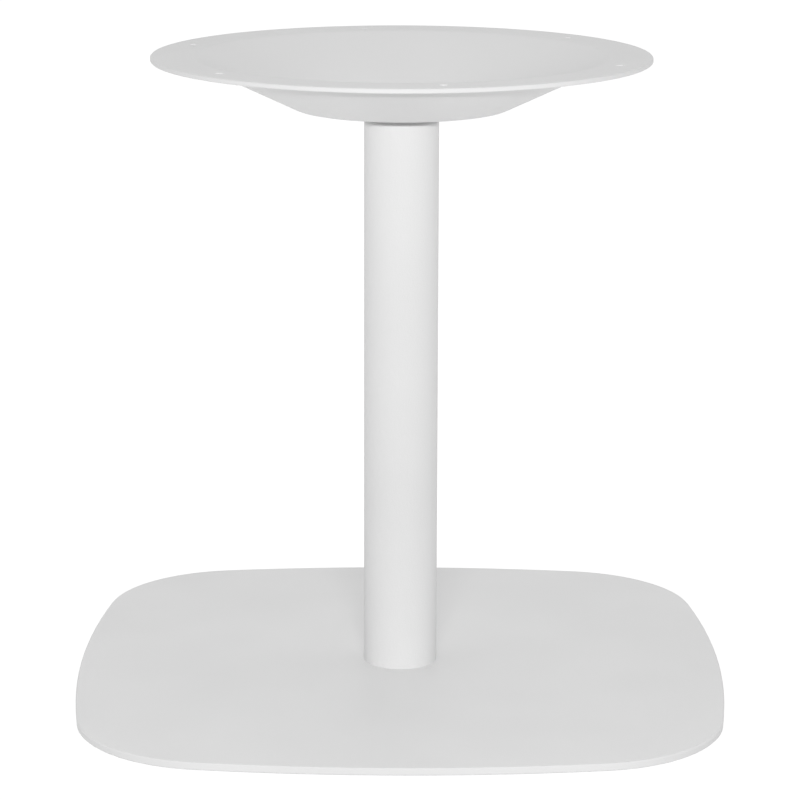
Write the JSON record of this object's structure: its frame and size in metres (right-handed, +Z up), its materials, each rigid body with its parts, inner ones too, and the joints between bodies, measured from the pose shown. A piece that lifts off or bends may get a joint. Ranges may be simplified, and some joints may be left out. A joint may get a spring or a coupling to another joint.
{
  "type": "coffee table base",
  "caption": "Pedestal base for a low table: bowed-square floor plate, round column and flanged dish with screw holes for the table top.",
  "frame": {"origin": "on the floor, under the column's axis", "axes": "+Z up along the column, X and Y square to the plate's sides, -Y towards the viewer of the picture"},
  "size_m": [0.4398, 0.4398, 0.425],
  "materials": {
    "coated_steel": "white powder coat, fine texture, satin",
    "turned_steel": "turned, oiled",
    "plated_screw": "zinc-plated",
    "glide_rubber": "matt"
  },
  "bodies": {
    "root": {"base_plate": "coated_steel", "column_tube": "coated_steel", "head_plug": "coated_steel", "top_dish": "coated_steel", "foot_plug": "turned_steel", "foot_screw": "plated_screw", "head_screw": "plated_screw", "head_washer": "plated_screw", "glide_1": "glide_rubber", "glide_2": "glide_rubber", "glide_3": "glide_rubber", "glide_4": "glide_rubber"}
  },
  "joints": []
}
